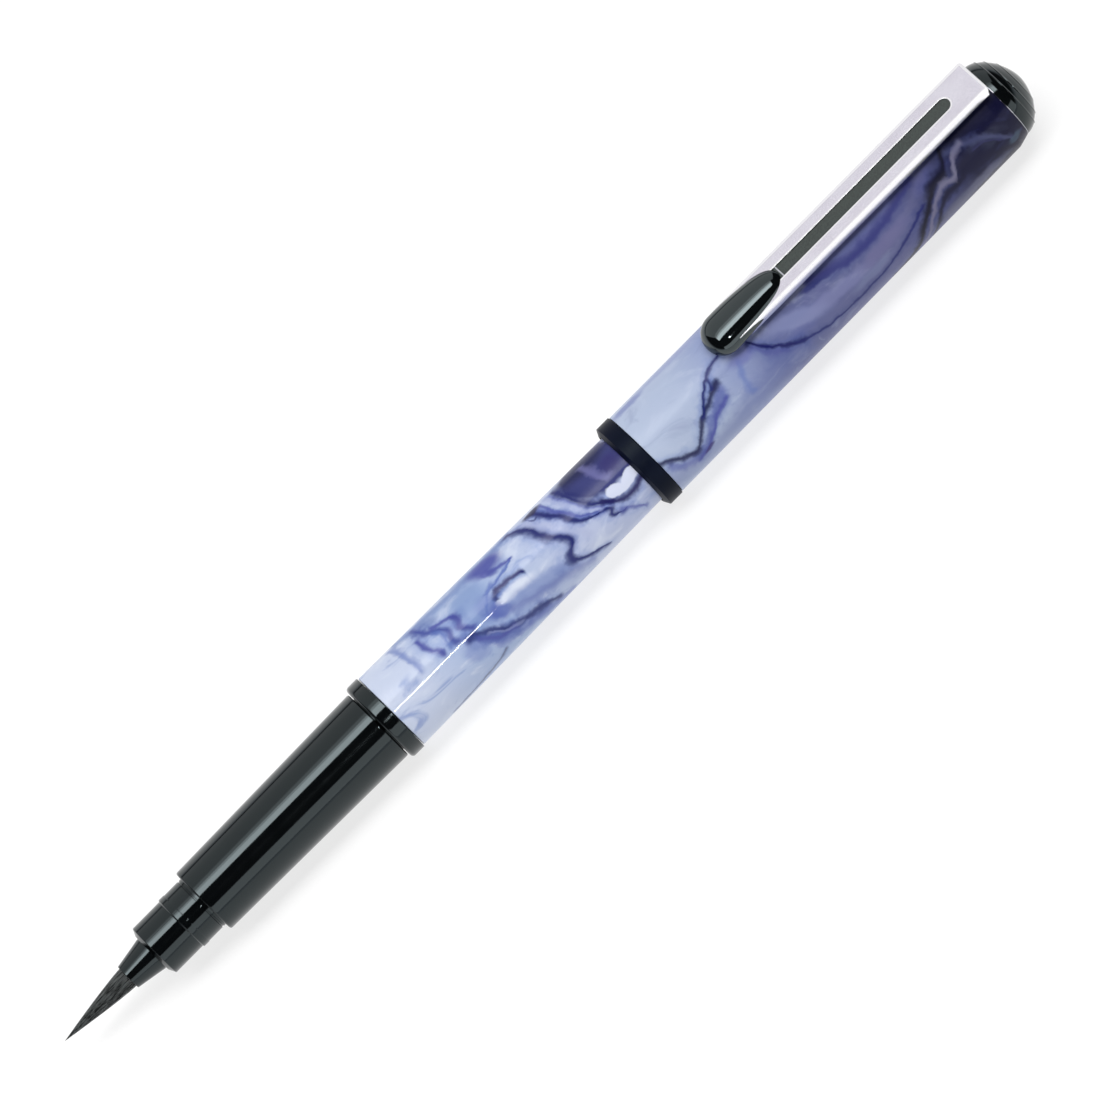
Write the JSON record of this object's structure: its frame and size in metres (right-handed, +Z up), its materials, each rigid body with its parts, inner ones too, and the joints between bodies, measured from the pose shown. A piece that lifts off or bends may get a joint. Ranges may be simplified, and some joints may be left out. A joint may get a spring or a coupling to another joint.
{
  "type": "brush pen",
  "caption": "Cartridge-fed brush pen with a tapered bristle tuft, gloss grip section and a marble-pattern barrel, its clip cap posted on the rear.",
  "frame": {"origin": "on the surface the pen lies on, below the middle of its length; the lowest flat of the cap's lip ring rests there", "axes": "+X along the pen from the brush tip to the cap's dome, +Z up, with the pocket clip straight up, +Y to the side"},
  "size_m": [0.16, 0.0124, 0.015],
  "materials": {
    "black_gloss": "moulded black plastic, high gloss",
    "black_satin": "moulded blue-black plastic, satin",
    "marble": "plastic tube under a glossy film with a blue-violet marbled pattern",
    "chrome": "pearl chrome plate with bright edges",
    "clear_plastic": "milky translucent plastic",
    "ink_plastic": "ink-stained moulded plastic",
    "steel": "small polished steel ball",
    "rubber": "black seal rubber",
    "felt": "bonded fibre wick, ink-soaked",
    "bristle": "fine black synthetic bristles"
  },
  "bodies": {
    "barrel": {"barrel_tube": "marble", "barrel_liner": "black_satin", "barrel_end_plug": "black_satin"},
    "cartridge": {"ink_cartridge": "clear_plastic", "cartridge_seal": "rubber", "stopper_ball": "steel"},
    "collar": {"section_collar": "black_gloss"},
    "section": {"grip_section": "black_gloss", "nose_sleeve": "black_gloss", "brush_ferrule": "black_gloss", "tuft_root": "bristle", "ink_collector": "ink_plastic", "feed_wick": "felt", "piercing_tube": "ink_plastic"},
    "tuft": {"brush_tuft": "bristle"},
    "cap": {"cap_lip_ring": "black_satin", "cap_tube": "marble", "cap_grip_sleeve": "black_satin", "inner_cap": "black_satin", "cap_top_plug": "black_satin", "clip_ring": "chrome", "finial_dome": "black_gloss"},
    "clip": {"clip_shell": "chrome", "clip_inlay": "black_satin", "clip_ball": "black_gloss"}
  },
  "joints": [
    {"name": "cartridge_draw", "type": "slide", "parent": "barrel", "child": "cartridge", "axis": [-1, 0, 0], "range_m": [0, 0.062]},
    {"name": "section_travel", "type": "slide", "parent": "cartridge", "child": "collar", "axis": [-1, 0, 0], "range_m": [0, 0.0064]},
    {"name": "section_turn", "type": "hinge", "parent": "collar", "child": "section", "pos_m": [-0.02765, 0, 0.00621], "axis": [-1, 0, 0], "range_deg": [0, 1440]},
    {"name": "tuft_bend", "type": "hinge", "parent": "section", "child": "tuft", "pos_m": [-0.06945, 0, 0.00621], "axis": [0, 1, 0], "range_deg": [-20, 20], "stiffness_Nm_per_rad": 0.0001},
    {"name": "cap_pull", "type": "slide", "parent": "barrel", "child": "cap", "axis": [1, 0, 0], "range_m": [0, 0.032]},
    {"name": "clip_flex", "type": "hinge", "parent": "cap", "child": "clip", "pos_m": [0.0758, 0, 0.01161], "axis": [0, 1, 0], "range_deg": [0, 6], "stiffness_Nm_per_rad": 0.1}
  ],
  "couplings": [
    {"joint": "section_turn", "follows": "section_travel", "rad_per_m": 3927}
  ]
}
